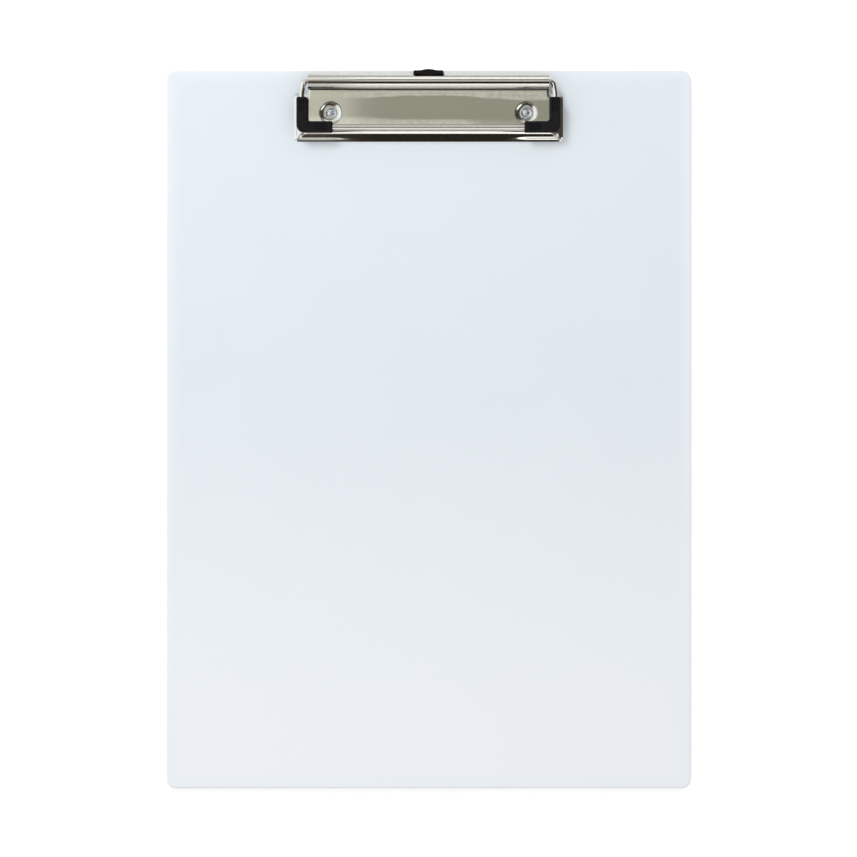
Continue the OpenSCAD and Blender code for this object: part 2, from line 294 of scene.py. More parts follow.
class Nodes:
    """The nodes of a material or of the world. A call adds one or more and gives what comes out."""

    def __init__(self, tree):
        self.tree = tree
        tree.nodes.clear()

    def add(self, kind, inputs=None, **settings):
        """Adds a ShaderNode of a kind and gives the node itself."""
        node = self.tree.nodes.new("ShaderNode" + kind)
        for key, value in settings.items():
            setattr(node, key, value)
        for key, value in (inputs or {}).items():
            if isinstance(value, bpy.types.NodeSocket):
                self.tree.links.new(value, node.inputs[key])
            else:
                node.inputs[key].default_value = value
        return node

    def math(self, operation, a, b=0.0, clamp=False):
        return self.add("Math", {0: a, 1: b}, operation=operation, use_clamp=clamp).outputs[0]

    def plus(self, a, b):
        return self.math("ADD", a, b)

    def minus(self, a, b, clamp=False):
        return self.math("SUBTRACT", a, b, clamp)

    def times(self, a, b):
        return self.math("MULTIPLY", a, b)

    def size(self, a):
        return self.math("ABSOLUTE", a)

    def step(self, value, start, end, low=0.0, high=1.0):
        """A smooth step from low at start to high at end."""
        inputs = {"Value": value, "From Min": start, "From Max": end, "To Min": low, "To Max": high}
        return self.add("MapRange", inputs, interpolation_type="SMOOTHSTEP").outputs[0]

    def ramp(self, value, stops):
        """A ramp of colours: stops are (place, (r, g, b))."""
        node = self.add("ValToRGB", {"Fac": value})
        elements = node.color_ramp.elements
        while len(elements) < len(stops):
            elements.new(1.0)
        for element, (place, colour) in zip(elements, stops):
            element.position = place
        for element, (place, colour) in zip(elements, stops):
            element.color = (*colour, 1.0)
        return node.outputs["Color"]

    def blend(self, fac, a, b, mode="MIX"):
        inputs = {0: fac}
        for index, value in ((6, a), (7, b)):
            inputs[index] = value if isinstance(value, bpy.types.NodeSocket) else (*value, 1.0)
        return self.add("Mix", inputs, data_type="RGBA", blend_type=mode).outputs[2]

    def place(self, stretch=1.0):
        """The point in the frame at rest, in millimetres, with what lies in it stretched along X."""
        coord = self.add("TexCoord").outputs["Object"]
        return self.add("Mapping", {"Vector": coord, "Scale": (MM / stretch, MM, MM)}).outputs["Vector"]

    def split(self, vector):
        return self.add("SeparateXYZ", {"Vector": vector}).outputs

    def noise(self, place, size, detail=2.0, rough=0.5):
        """Noise about 0.5, with lumps of about the given size in millimetres."""
        inputs = {"Vector": place, "Scale": 1.0 / size, "Detail": detail, "Roughness": rough}
        return self.add("TexNoise", inputs).outputs[0]

    def bump(self, height, depth, normal=None):
        """Bump of about the given depth in millimetres."""
        inputs = {"Height": height, "Distance": depth / MM, "Strength": 1.0}
        if normal is not None:
            inputs["Normal"] = normal
        return self.add("Bump", inputs).outputs["Normal"]


def start_material(name):
    material = bpy.data.materials.new(name)
    material.use_nodes = True
    return material, Nodes(material.node_tree)


def end_material(material, tree, tone, roughness, others):
    shader = tree.add("BsdfPrincipled", {"Base Color": tone, "Roughness": roughness, **others})
    tree.add("OutputMaterial", {"Surface": shader.outputs[0]})
    return material


# how the plate's flat top waves. It droops smoothly to the left of a line, and dips before its rear
# and front bends. A pair is the stretch of x, or of the distance from the middle, over which a
# change comes in.
LEFT_FROM = -17.0
LEFT_OVER = 19.0
LEFT_SLOPE = 0.044
WAVE_SLOPE = 0.049
STEEPEST = 1.5
REAR_FROM = axis.y - 6.6
REAR_TO = axis.y - 3.8
REAR_WIDEN = 1.1
REAR_SIDES = (8.0, 30.0)
REAR_RIGHT = (24.0, 40.0)
REAR_FADE = (-44.0, -22.0)
REAR_LEAST = 0.1
REAR_LUMPS = 7.0
FRONT_FROM = front_y + 5.25
FRONT_TO = front_y + 10.15
FRONT_WIDEN = 1.2
FRONT_LEFT = (-12.0, -30.0)
FRONT_RIGHT = (12.0, 26.0)
FRONT_LEAST = 0.4

# a faint crease along the top of the tube
CREASE_FROM = axis.y - 0.1
CREASE_TO = axis.y + 0.8
CREASE_DEPTH = 0.047

# how the flanges are set steeper near their edge, by the distance in from it, and where that eases:
# towards the plate's ends, and in a narrower stretch on the left
SET_FROM = 3.6
SET_OVER = 0.6
SET_SLOPE = 0.37
EASE_FROM = 2.3
EASE_TO = 0.6
EASE_NARROWER = 0.5
EASE_SIDE = 5.0
EASE_STEEPEST = 1.6
END_FROM = 30.0
END_TO = 46.0

# the painted shade under the tube: a dark line across the fold, and the sheet under the tube darkened
FOLD_Y = axis.y - 3.7
FOLD_W = 0.2
FOLD_Z = 6.4
FOLD_EDGE = 0.15
# painted shade: the tone of the shade in the fold under the tube
FOLD_SHADE_TONE = (0.02, 0.017, 0.014)

# tones
# painted light: how far in the board's glow along its cut edges reaches, and where its glow towards the
# foot starts
EDGE_GLOW_W = 7.0
FOOT_GLOW_FROM = 40.0
BOARD_DARK = (0.69, 0.741, 0.776)
BOARD_LIGHT = (0.719, 0.768, 0.801)
# painted light: the tones of the board's glow towards its foot and along its cut edges
BOARD_FOOT_GLOW = (0.812, 0.838, 0.862)
BOARD_EDGE_GLOW = (0.78, 0.822, 0.857)
BOARD_SPECK = (0.7, 0.76, 0.81)
RIVET_DARK = (0.52, 0.57, 0.64)
RIVET_LIGHT = (0.95, 0.97, 0.99)
NICKEL = (0.715, 0.71, 0.665)
WIRE_NICKEL = (0.74, 0.73, 0.68)
SPRING_STEEL = (0.36, 0.37, 0.39)
RUBBER = (0.005, 0.0045, 0.006)
RUBBER_DUST = (0.013, 0.012, 0.014)
HOOK_BLACK = (0.005, 0.004, 0.003)
HOOK_DUST = (0.012, 0.009, 0.007)


def milky_plastic():
    """Translucent white sheet: faint clouds, a painted glow of light that comes through it along its cut
    edges and towards its foot, with a satin skin.
    """
    cloud_size = 38.0
    speck_size = 0.7
    skin_size = 0.16
    skin_depth = 0.004
    wave_size = 9.0
    wave_depth = 0.01
    material, tree = start_material("milky_plastic")
    place = tree.place()
    xyz = tree.split(place)
    clouds = tree.noise(place, cloud_size, detail=3.0)
    specks = tree.noise(place, speck_size, detail=1.0)
    from_side = tree.minus(board_high.x, tree.size(xyz[0]))
    from_end = tree.minus(board_high.y, tree.size(xyz[1]))
    # painted light: paler along the cut edges, where light comes through the sheet
    edge = tree.step(tree.math("MINIMUM", from_side, from_end), 0.0, EDGE_GLOW_W, 1.0, 0.0)
    tone = tree.blend(clouds, BOARD_DARK, BOARD_LIGHT)
    # painted light: paler towards the board's foot
    foot_glow = tree.step(xyz[1], FOOT_GLOW_FROM, board_low.y)
    tone = tree.blend(foot_glow, tone, BOARD_FOOT_GLOW)
    tone = tree.blend(tree.times(edge, 0.6), tone, BOARD_EDGE_GLOW)
    tone = tree.blend(tree.step(specks, 0.66, 0.74, 0.0, 0.25), tone, BOARD_SPECK)
    skin = tree.noise(place, skin_size)
    waves = tree.noise(place, wave_size, detail=1.0)
    normal = tree.bump(waves, wave_depth, tree.bump(skin, skin_depth))
    rough = tree.step(skin, 0.3, 0.7, 0.38, 0.5)
    others = {"Normal": normal, "IOR": 1.49, "Specular IOR Level": 0.3}
    return end_material(material, tree, tone, rough, others)


def bend_node(tree, past, over, slope):
    """Height of a surface that turns smoothly to a slope over a length, at a distance past its start."""
    past = tree.math("MAXIMUM", past, 0.0)
    near = tree.math("MINIMUM", past, over)
    far = tree.minus(tree.times(past, 2.0), near)
    return tree.times(tree.times(near, far), slope / (2 * over))


def flange_relief(tree, xyz):
    """Height in millimetres of the set that the press leaves in the flanges; it eases near the ends."""
    across = tree.size(xyz[0])
    from_side = tree.minus(side_x, across)
    inward = tree.math("MINIMUM", from_side, tree.minus(xyz[1], front_y))
    height = bend_node(tree, tree.minus(SET_FROM, inward), SET_OVER, SET_SLOPE)
    ends = tree.step(across, END_FROM, END_TO)
    start = tree.step(xyz[0], -EASE_SIDE, EASE_SIDE, EASE_FROM - EASE_NARROWER, EASE_FROM)
    depth = SET_SLOPE * (EASE_FROM - EASE_TO) / EASE_STEEPEST
    eased = tree.step(inward, start, EASE_TO, 0.0, depth)
    return tree.minus(height, tree.times(ends, eased))


def rear_wave(tree, place, xyz):
    """Height of the dip before the rear bend, which starts earlier to the sides and fades on the left."""
    widen = tree.step(tree.size(xyz[0]), *REAR_SIDES, 0.0, REAR_WIDEN)
    widen = tree.plus(widen, tree.step(xyz[0], *REAR_RIGHT, 0.0, REAR_WIDEN))
    drift = tree.minus(tree.noise(place, REAR_LUMPS, detail=1.0), 0.5)
    start = tree.plus(tree.minus(REAR_FROM, widen), drift)
    run = tree.minus(start, REAR_TO)
    depth = tree.times(run, WAVE_SLOPE / STEEPEST)
    depth = tree.times(depth, tree.step(xyz[0], *REAR_FADE, REAR_LEAST, 1.0))
    return tree.step(xyz[1], start, REAR_TO, 0.0, depth)


def front_wave(tree, xyz):
    """Height of the dip before the front bend, which is wider on the left and flatter on the right."""
    depth = WAVE_SLOPE / STEEPEST * (FRONT_TO - FRONT_FROM)
    depth = tree.step(xyz[0], *FRONT_RIGHT, depth, depth * FRONT_LEAST)
    end = tree.plus(tree.step(xyz[0], *FRONT_LEFT, 0.0, FRONT_WIDEN), FRONT_TO)
    return tree.step(xyz[1], FRONT_FROM, end, depth, 0.0)


def pressed_relief(tree, place):
    """Height in millimetres of the slight unevenness that pressing leaves in the plate."""
    xyz = tree.split(place)
    height = bend_node(tree, tree.minus(LEFT_FROM, xyz[0]), LEFT_OVER, -LEFT_SLOPE)
    crease = tree.step(xyz[1], CREASE_FROM, CREASE_TO, 0.0, -CREASE_DEPTH)
    for part in (rear_wave(tree, place, xyz), crease, front_wave(tree, xyz), flange_relief(tree, xyz)):
        height = tree.plus(height, part)
    return height


def fold_painted_shade(tree, place, tone):
    """The tone with painted shade: darkened in the fold behind the flat top and on the plate behind it,
    under the tube, where shade falls.
    """
    xyz = tree.split(place)
    past = tree.step(xyz[1], FOLD_Y, FOLD_Y + FOLD_EDGE)
    behind = tree.step(xyz[1], FOLD_Y + FOLD_W, FOLD_Y + FOLD_W + FOLD_EDGE)
    high = tree.step(xyz[2], FOLD_Z, FOLD_Z + 0.4)
    tube = tree.times(high, behind)
    return tree.blend(tree.minus(past, tube, clamp=True), tone, FOLD_SHADE_TONE)


def bright_metal(name, colour, rough, grain, wear=0.25, pressed=False):
    """Plated metal: grain drawn out along X, faint smudges that dull it, fine pits; the pressed plate also
    gets its relief, speckles and a painted shade under the tube.
    """
    grain_size = 0.16
    grain_depth = 0.0012
    smudge_size = 2.2
    pit_size = 0.22
    speckle_size = 0.5
    material, tree = start_material(name)
    lines = tree.noise(tree.place(grain), grain_size, detail=3.0, rough=0.6)
    place = tree.place()
    smudges = tree.noise(place, smudge_size, detail=4.0, rough=0.7)
    pits = tree.noise(place, pit_size, detail=1.0)
    dull = tree.step(smudges, 0.35, 0.72)
    darker = tuple(c * (1 - wear) for c in colour)
    tone = tree.blend(tree.times(dull, 0.25), colour, darker)
    tone = tree.blend(tree.step(pits, 0.7, 0.78, 0.0, 0.35), tone, darker)
    roughness = tree.plus(tree.times(dull, rough * 0.3), rough * 0.75)
    roughness = tree.plus(roughness, tree.times(lines, rough * 0.3))
    normal = tree.bump(lines, grain_depth)
    if pressed:
        normal = tree.bump(pressed_relief(tree, place), 1.0, normal)
        speckle = tree.noise(place, speckle_size, detail=1.0)
        tone = tree.blend(tree.step(speckle, 0.3, 0.7, 0.0, 0.22), tone, darker)
        # painted shade in the fold and on the sheet under the tube
        tone = fold_painted_shade(tree, place, tone)
    return end_material(material, tree, tone, roughness, {"Normal": normal, "Metallic": 1.0})


def moulded_black(name, colour, grey, rough, lump, depth):
    """Black rubber or plastic: fine moulded skin and a trace of dust."""
    material, tree = start_material(name)
    place = tree.place()
    skin = tree.noise(place, lump, detail=3.0, rough=0.6)
    dust = tree.noise(place, 1.6, detail=4.0, rough=0.7)
    tone = tree.blend(tree.step(dust, 0.45, 0.8, 0.0, 0.7), colour, grey)
    roughness = tree.step(skin, 0.3, 0.7, rough - 0.08, rough + 0.1)
    others = {"Normal": tree.bump(skin, depth), "Specular IOR Level": 0.22}
    return end_material(material, tree, tone, roughness, others)


def tumbled_aluminium():
    """Soft rivet metal, dented by tumbling and by the setting tool."""
    dent_size = 0.55
    dent_depth = 0.035
    grains_per_mm = 3.2
    grain_depth = 0.012
    material, tree = start_material("tumbled_aluminium")
    place = tree.place()
    dents = tree.noise(place, dent_size, detail=3.0, rough=0.6)
    grains = tree.add("TexVoronoi", {"Vector": place, "Scale": grains_per_mm})
    tone = tree.blend(tree.step(dents, 0.35, 0.65), RIVET_DARK, RIVET_LIGHT)
    roughness = tree.step(dents, 0.3, 0.7, 0.24, 0.42)
    normal = tree.bump(dents, dent_depth, tree.bump(grains.outputs["Distance"], grain_depth))
    return end_material(material, tree, tone, roughness, {"Normal": normal, "Metallic": 1.0})


board_material = milky_plastic()
plate_material = bright_metal("nickel_sheet", NICKEL, 0.11, grain=18.0, pressed=True)
wire_material = bright_metal("nickel_wire", WIRE_NICKEL, 0.09, grain=6.0, wear=0.3)
spring_material = bright_metal("oiled_spring_steel", SPRING_STEEL, 0.25, grain=1.0, wear=0.5)
rubber_material = moulded_black("ribbed_rubber", RUBBER, RUBBER_DUST, 0.55, lump=0.14, depth=0.012)
hook_material = moulded_black("black_plastic", HOOK_BLACK, HOOK_DUST, 0.5, lump=0.2, depth=0.008)
rivet_material = tumbled_aluminium()


def new_object(name, data):
    thing = bpy.data.objects.new(name, data)
    bpy.context.scene.collection.objects.link(thing)
    return thing


MERGE_M = 1e-7
SLIVER_M = 1e-8
RIM_ANGLE = math.radians(60)


def make_piece(name, shell, material, node, body=None, rim=0.0, sharp=40):
    """A mesh in metres from a shell; it stands for its CAD node and rides on the CAD body."""
    mesh = bpy.data.meshes.new(name)
    bm = bmesh.new()
    verts = [bm.verts.new(p / MM) for p in shell.points]
    for face in shell.faces:
        if len(set(face)) == len(face):
            bm.faces.new([verts[i] for i in face])
    bmesh.ops.remove_doubles(bm, verts=bm.verts, dist=MERGE_M)
    bmesh.ops.dissolve_degenerate(bm, edges=bm.edges, dist=SLIVER_M)
    bmesh.ops.delete(bm, geom=[v for v in bm.verts if not v.link_faces], context="VERTS")
    bmesh.ops.recalc_face_normals(bm, faces=bm.faces)
    bm.to_mesh(mesh)
    bm.free()
    mesh.shade_smooth()
    mesh.set_sharp_from_angle(angle=math.radians(sharp))
    mesh.materials.append(material)
    piece = new_object(name, mesh)
    if rim:
        bevel = piece.modifiers.new("rim", "BEVEL")
        bevel.width = rim / MM
        bevel.segments = 2
        bevel.limit_method = "ANGLE"
        bevel.angle_limit = RIM_ANGLE
        bevel.use_clamp_overlap = True
    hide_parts(node)
    if body:
        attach(piece, body)
    return piece


# ---- board

def build_board():
    """The board: a slab with a hole for each rivet, and a recess behind it for the rivet's head."""
    corner_r = 4.0
    back_r = 0.35
    front_r = 0.6
    hole_r = 2.05
    recess_r = 4.5
    recess_edge = 0.15
    back = board_low.z
    recess_z = back + 1.0
    profile = [(hole_r, board_high.z), (hole_r, recess_z), (recess_r - 0.2, recess_z),
               (recess_r, recess_z), (recess_r, back + recess_edge), (recess_r + recess_edge, back)]
    shell = Shell()
    low_holes = []
    high_holes = []
    for x in (-rivet_x, rivet_x):
        rings = [shell.ring(circle(x, rivet_y, z, r)) for r, z in profile]
        shell.skin(rings)
        high_holes.append(rings[0])
        low_holes.append(rings[-1])
    corners = rectangle(board_low.x, board_low.y, board_high.x, board_high.y, corner_r)
    wall = rounded_wall(back, board_high.z, back_r, front_r)
    slab(shell, corners, wall, 14, low_holes, high_holes)
    make_piece("board_sheet", shell, board_material, "board", "base")


# ---- clip plate

# distances in from a flanged edge: to the slope's end and to the flat top, and for the underside to
# the sheet's cut edge and to the slope's end
slope_run = (plate_h - BEND_R * (1 - math.cos(SLOPE))) / math.tan(SLOPE)
flange_run = slope_run + BEND_R * math.sin(SLOPE)
cut_run = SHEET / math.sin(SLOPE)
slope_under = slope_run + SHEET * math.sin(SLOPE)

# each dimple fills a square patch of the sheet's grid
PATCH_HALF = 5.9
PATCH_CELLS = 30
patch_step = 2 * PATCH_HALF / PATCH_CELLS
patch_gap = ear_y - rivet_y - PATCH_HALF

# distances in from a flanged edge at which the grid has a line; the plate's corners are rounded
# inside the last one, and the front flange has more lines than the others
edge_steps = [0.0, 0.2, 0.5, 0.9, 1.4, 1.95, slope_run, 2.75, 3.08]
edge_steps += [patch_gap + k * patch_step for k in range(6)]
zone = edge_steps[-1]
extra_steps = [0.7, 1.15, 2.2, 2.6, 2.92, 3.25, 3.6, 4.0, 4.12, 4.38, 4.5, 4.68, 4.85]
front_steps = sorted(edge_steps + extra_steps)
FRONT_POWER = 6.2
EAR_POWER = 4.2
EAR_FILLET = 1.03

# the tube: the window for the hook, the holes for the springs' tangs, and its free edge
WINDOW_HALF = 7.0
WINDOW_ANGLE = 62.0
TANG_HALF = 0.8
TANG_PAST = 70.0
FREE_GAP = 2.0
NEAR = 1e-6


def upper_height(d):
    """Height of the plate's upper side, d in from a flanged edge."""
    if d >= flange_run:
        return plate_h
    if d <= slope_run:
        return d * math.tan(SLOPE)
    return plate_h - BEND_R + math.sqrt(BEND_R ** 2 - (flange_run - d) ** 2)


def under_inset(d):
    """Where the underside's point goes that belongs to the upper side's point at d."""
    if d >= flange_run:
        return d
    if d <= slope_run:
        return lerp(cut_run, slope_under, d / slope_run)
    return d + SHEET * (flange_run - d) / BEND_R


def under_height(d):
    """Height of the underside there."""
    if d <= slope_run:
        return (under_inset(d) - cut_run) * math.tan(SLOPE)
    lean = min(1.0, max(0.0, (flange_run - d) / BEND_R))
    return upper_height(d) - SHEET * math.sqrt(1 - lean * lean)


def rear_edge(across):
    """Where the plate ends behind, before the neck, at that distance from the middle."""
    end = ear_y + EAR_FILLET
    if across <= ROLL_HALF:
        return end
    if across >= ROLL_HALF + EAR_FILLET:
        return ear_y
    return end - math.sqrt(EAR_FILLET ** 2 - (ROLL_HALF + EAR_FILLET - across) ** 2)


def round_corner(u, v, power):
    """Pulls a point of a square corner zone, measured from its inner corner, to a rounded one."""
    if u <= 0 or v <= 0:
        return u, v
    scale = max(u, v) / (u ** power + v ** power) ** (1 / power)
    return u * scale, v * scale


# the front flange's slope in degrees, by the distance in from its edge: midway and near its ends
FRONT_MIDDLE = [(0.0, 35), (0.5, 33), (3.68, 33), (3.98, 31.5), (4.38, 29), (4.5, 12), (4.85, 0)]
FRONT_END = [(0.0, 36), (3.3, 36), (3.6, 32), (4.0, 29), (4.12, 12), (4.45, 0)]
FRONT_RUN = 5.0


def climb(slopes, v):
    """Height reached v in from the edge, going up the slopes."""
    height = 0.0
    for (start, low), (end, high) in zip(slopes, slopes[1:]):
        part = min(end, v) - start
        if part <= 0:
            break
        slope = lerp(low, high, part / (end - start) / 2)
        height += part * math.tan(math.radians(slope))
    return height


def front_swell(across, u, v):
    """How far the front flange rises over an even slope, v in from its edge and u from the side."""
    if v >= FRONT_RUN or v >= u:
        return 0.0
    middle = climb(FRONT_MIDDLE, v) * plate_h / climb(FRONT_MIDDLE, FRONT_RUN)
    end = climb(FRONT_END, v) * plate_h / climb(FRONT_END, FRONT_RUN)
    shape = lerp(middle, end, smoothstep(END_FROM, END_TO, across))
    return (shape - upper_height(v)) * smoothstep(0.0, 2.0, u - v)


def plate_point(x, row, under):
    """A point of the sheet at column x on a row, on its upper side or its underside.

    A row is ("plate", y), ("neck", y) between plate and tube, or ("arc", angle) round the tube.
    """
    kind, value = row
    if kind == "arc":
        r = roll_outer if under else roll_inner
        reach = r * math.cos(value)
        if reach < 0:
            reach *= ROLL_SWELL
        return (x, axis.y + reach, axis.z + r * math.sin(value))
    if kind == "neck":
        return (x, value, top_z - SHEET if under else top_z)
    across = abs(x)
    side = 1 if x >= 0 else -1
    u = side_x - across
    v = value - front_y
    d = ear_y - value
    ear = smoothstep(ROLL_HALF, ROLL_HALF + 2, across)
    height = under_height if under else upper_height
    full = plate_h - SHEET if under else plate_h
    z = min(height(u), height(v), lerp(full, height(max(d, 0.0)), ear))
    if under:
        u_now = under_inset(u)
        v_now = under_inset(v)
        d_now = lerp(d, under_inset(d), ear)
    else:
        u_now, v_now, d_now = u, v, d
    if d < patch_gap:
        y = lerp(ear_y - patch_gap, rear_edge(across), (patch_gap - d_now) / patch_gap)
    elif d < zone:
        y = ear_y - d_now
    else:
        y = front_y + v_now
    x_now = side_x - u_now
    if u < zone and v < zone:
        a, b = round_corner(zone - u_now, zone - v_now, FRONT_POWER)
        x_now, y = side_x - zone + a, front_y + zone - b
    elif u < zone and d < zone:
        a, b = round_corner(zone - u_now, zone - d_now, EAR_POWER)
        x_now, y = side_x - zone + a, ear_y - zone + b
    z += front_swell(across, u, v)
    return (side * x_now, y, seat_z + z)


# the dimple from the rivet outwards: a flat floor, a cup that rises from it, and a steep rim
CUP_FROM = 2.85
CUP_RISE = 0.135
RIM_FROM = 4.78
RIM_STEEP = 8.0
FLOOR_R = 3.5
LIP_R = 5.1
UNDER_SHIFT = 0.391
dimple_radii = [2.05, 2.4, 2.7, 2.9, 3.1, *spread(3.35, 4.6, 5), 4.75, *spread(4.86, 5.26, 4)]
dimple_radii += [5.38, 5.52, 5.75]


def dimple_ring(r, under):
    """(radius, height over the seat) of the dimple's sheet, for the upper side's radius r."""
    if not under:
        cup = SHEET + CUP_RISE * max(0.0, r - CUP_FROM) ** 2
        rim = SHEET + CUP_RISE * (RIM_FROM - CUP_FROM) ** 2 + (r - RIM_FROM) * RIM_STEEP
        return r, smooth_min(smooth_max(cup, rim, 0.25), plate_h, 0.45)
    r += UNDER_SHIFT * smoothstep(2.3, 3.2, r) * (1 - smoothstep(4.9, 6.1, r))
    wall = (r - FLOOR_R - UNDER_SHIFT) * (plate_h - SHEET) / (LIP_R - FLOOR_R)
    return r, smooth_min(smooth_max(0.0, wall, 0.5), plate_h - SHEET, 0.4)


def plate_columns():
    """The grid's x places, from left to right."""
    half = [0.0, 3.5, WINDOW_HALF, 12.0, 18.0, 24.0, 29.0, 33.5]
    half += [rivet_x - PATCH_HALF + k * patch_step for k in range(PATCH_CELLS + 1)]
    half += [rivet_x + PATCH_HALF + 2 * TANG_HALF, 51.5, ROLL_HALF, 52.8, 53.0, 53.25]
    half += [side_x - d for d in reversed(edge_steps)]
    return [-x for x in reversed(half[1:])] + half


def plate_rows():
    """The grid's rows, from the front edge over the plate and the neck and round the tube."""
    rows = [("plate", front_y + d) for d in front_steps]
    rows += [("plate", rivet_y - PATCH_HALF + k * patch_step) for k in range(PATCH_CELLS + 1)]
    rows += [("plate", ear_y - d) for d in reversed(edge_steps) if d < patch_gap - NEAR]
    rows += [("neck", axis.y - d) for d in (2.7, 1.7, TANG_HALF)]
    tang_turn = math.degrees(math.asin(TANG_HALF / roll_outer))
    free_edge = 180 + math.degrees(math.asin(roll_inner / roll_outer)) - FREE_GAP
    angles = [-90, tang_turn - 90, -TANG_PAST, -WINDOW_ANGLE]
    angles += spread(-WINDOW_ANGLE, WINDOW_ANGLE, 16)[1:]
    angles += spread(WINDOW_ANGLE, free_edge, 22)[1:]
    return rows + [("arc", math.radians(a)) for a in angles]


columns = plate_columns()
rows = plate_rows()
kinds = [kind for kind, value in rows]
first_neck = kinds.index("neck")
first_arc = kinds.index("arc")


def far_x(i):
    """How far the cells between columns i and i + 1 reach from the middle."""
    return max(abs(columns[i]), abs(columns[i + 1]))


def in_patch(i, j):
    """Whether the cell between columns i, i + 1 and rows j, j + 1 belongs to a dimple."""
    if j + 1 >= first_neck:
        return False
    x = (columns[i] + columns[i + 1]) / 2
    y = (rows[j][1] + rows[j + 1][1]) / 2
    return max(abs(abs(x) - rivet_x), abs(y - rivet_y)) < PATCH_HALF


def in_window(i, j):
    if j < first_arc or far_x(i) > WINDOW_HALF + NEAR:
        return False
    return abs(math.degrees(rows[j][1] + rows[j + 1][1]) / 2) < WINDOW_ANGLE


def in_tang_hole(i, j):
    middle = (abs(columns[i]) + abs(columns[i + 1])) / 2
    beside = abs(middle - rivet_x - PATCH_HALF - TANG_HALF) < TANG_HALF
    return beside and j in (first_arc - 1, first_arc)


def present(i, j):
    """Whether the sheet has that cell; only its middle goes on into the neck and the tube."""
    if not (0 <= i < len(columns) - 1 and 0 <= j < len(rows) - 1):
        return False
    if j + 1 < first_neck:
        return True
    if far_x(i) > ROLL_HALF + NEAR:
        return False
    return not (in_window(i, j) or in_tang_hole(i, j))


class Sheet(Shell):
    """The plate's cells and dimples, each with an upper side and an underside."""

    def __init__(self):
        super().__init__()
        self.known = {}

    def vertex(self, i, j, under):
        key = (i, j, under)
        if key not in self.known:
            self.known[key] = self.ring([plate_point(columns[i], rows[j], under)])[0]
        return self.known[key]

    def add_cell(self, i, j):
        """Both sides of a cell, and an edge face to each side where the sheet ends."""
        corners = [(i, j), (i + 1, j), (i + 1, j + 1), (i, j + 1)]
        at_end = far_x(i) > side_x - zone + NEAR and j < first_neck
        falling = (columns[i] < 0) == (rows[j][1] < rivet_y)
        for under in (False, True):
            a, b, c, d = (self.vertex(*corner, under) for corner in corners)
            if not at_end:
                self.faces.append((a, b, c, d))
            elif falling:
                self.faces += [(a, b, c), (a, c, d)]
            else:
                self.faces += [(a, b, d), (b, c, d)]
        for k, beyond in enumerate([(i, j - 1), (i + 1, j), (i, j + 1), (i - 1, j)]):
            if not present(*beyond):
                start = corners[k]
                end = corners[(k + 1) % 4]
                self.faces.append((self.vertex(*start, False), self.vertex(*end, False),
                                   self.vertex(*end, True), self.vertex(*start, True)))

    def add_cells(self):
        for i in range(len(columns) - 1):
            for j in range(len(rows) - 1):
                if present(i, j) and not in_patch(i, j):
                    self.add_cell(i, j)

    def add_dimple(self, s):
        """Rings from one rivet's hole out to the edge of its patch, on both sides of the sheet."""
        right = columns.index(rivet_x - PATCH_HALF)
        first = right if s > 0 else len(columns) - 1 - right - PATCH_CELLS
        last = first + PATCH_CELLS
        low = len(front_steps)
        high = low + PATCH_CELLS
        border = [(i, low) for i in range(first, last)]
        border += [(last, j) for j in range(low, high)]
        border += [(i, high) for i in range(last, first, -1)]
        border += [(first, j) for j in range(high, low, -1)]
        spokes = [Vector((columns[i] - s * rivet_x, rows[j][1] - rivet_y)).normalized() for i, j in border]
        inner = []
        for under in (False, True):
            rings = []
            edge = [self.vertex(i, j, under) for i, j in border]
            for radius in dimple_radii:
                r, z = dimple_ring(radius, under)
                ring = [(s * rivet_x + p.x * r, rivet_y + p.y * r, seat_z + z) for p in spokes]
                rings.append(self.ring(ring))
            self.skin([*rings, edge])
            inner.append(rings[0])
        self.bridge(*inner)


def add_lugs(shell):
    """A small lug under each end of the tube's window, beside the hook."""
    half_w = 0.4
    length = 2.7
    chamfer = 0.1
    low = seat_z + 0.05
    wall = [(chamfer, low), (0.0, low + chamfer), (0.0, top_z - SHEET / 2)]
    for x in (-WINDOW_HALF - half_w / 2, WINDOW_HALF + half_w / 2):
        slab(shell, rectangle(x - half_w, axis.y - length, x + half_w, axis.y, 0.25), wall, 3)


def build_plate():
    sheet = Sheet()
    sheet.add_cells()
    sheet.add_dimple(-1)
    sheet.add_dimple(1)
    add_lugs(sheet)
    make_piece("clip_plate_sheet", sheet, plate_material, "clip_plate", "base",
               rim=0.1, sharp=62)


# ---- rivets

# (radius, height over the back) and (radius, depth below the front) round a rivet
BACK_HEAD = [(3.3, 0.0), (3.8, 0.06), (4.03, 0.22), (4.1, 0.42), (4.1, 0.72), (4.02, 0.83), (2.15, 0.85),
             (2.0, 1.0)]
ROLLED_END = [(2.0, 0.62), (2.45, 0.62), (2.7, 0.52), (2.8, 0.34), (2.76, 0.18), (2.6, 0.06), (2.38, 0.0),
              (2.14, 0.03), (1.96, 0.13), (1.84, 0.3), (1.74, 0.44), (1.58, 0.52), (1.3, 0.5),
              (0.95, 0.42), (0.6, 0.36), (0.3, 0.33)]
ROLLED_FROM_R = 1.55
BORE_R = 1.6
SPLITS = 6
SPLIT_DEPTH = 0.07
RIPPLE = 0.05


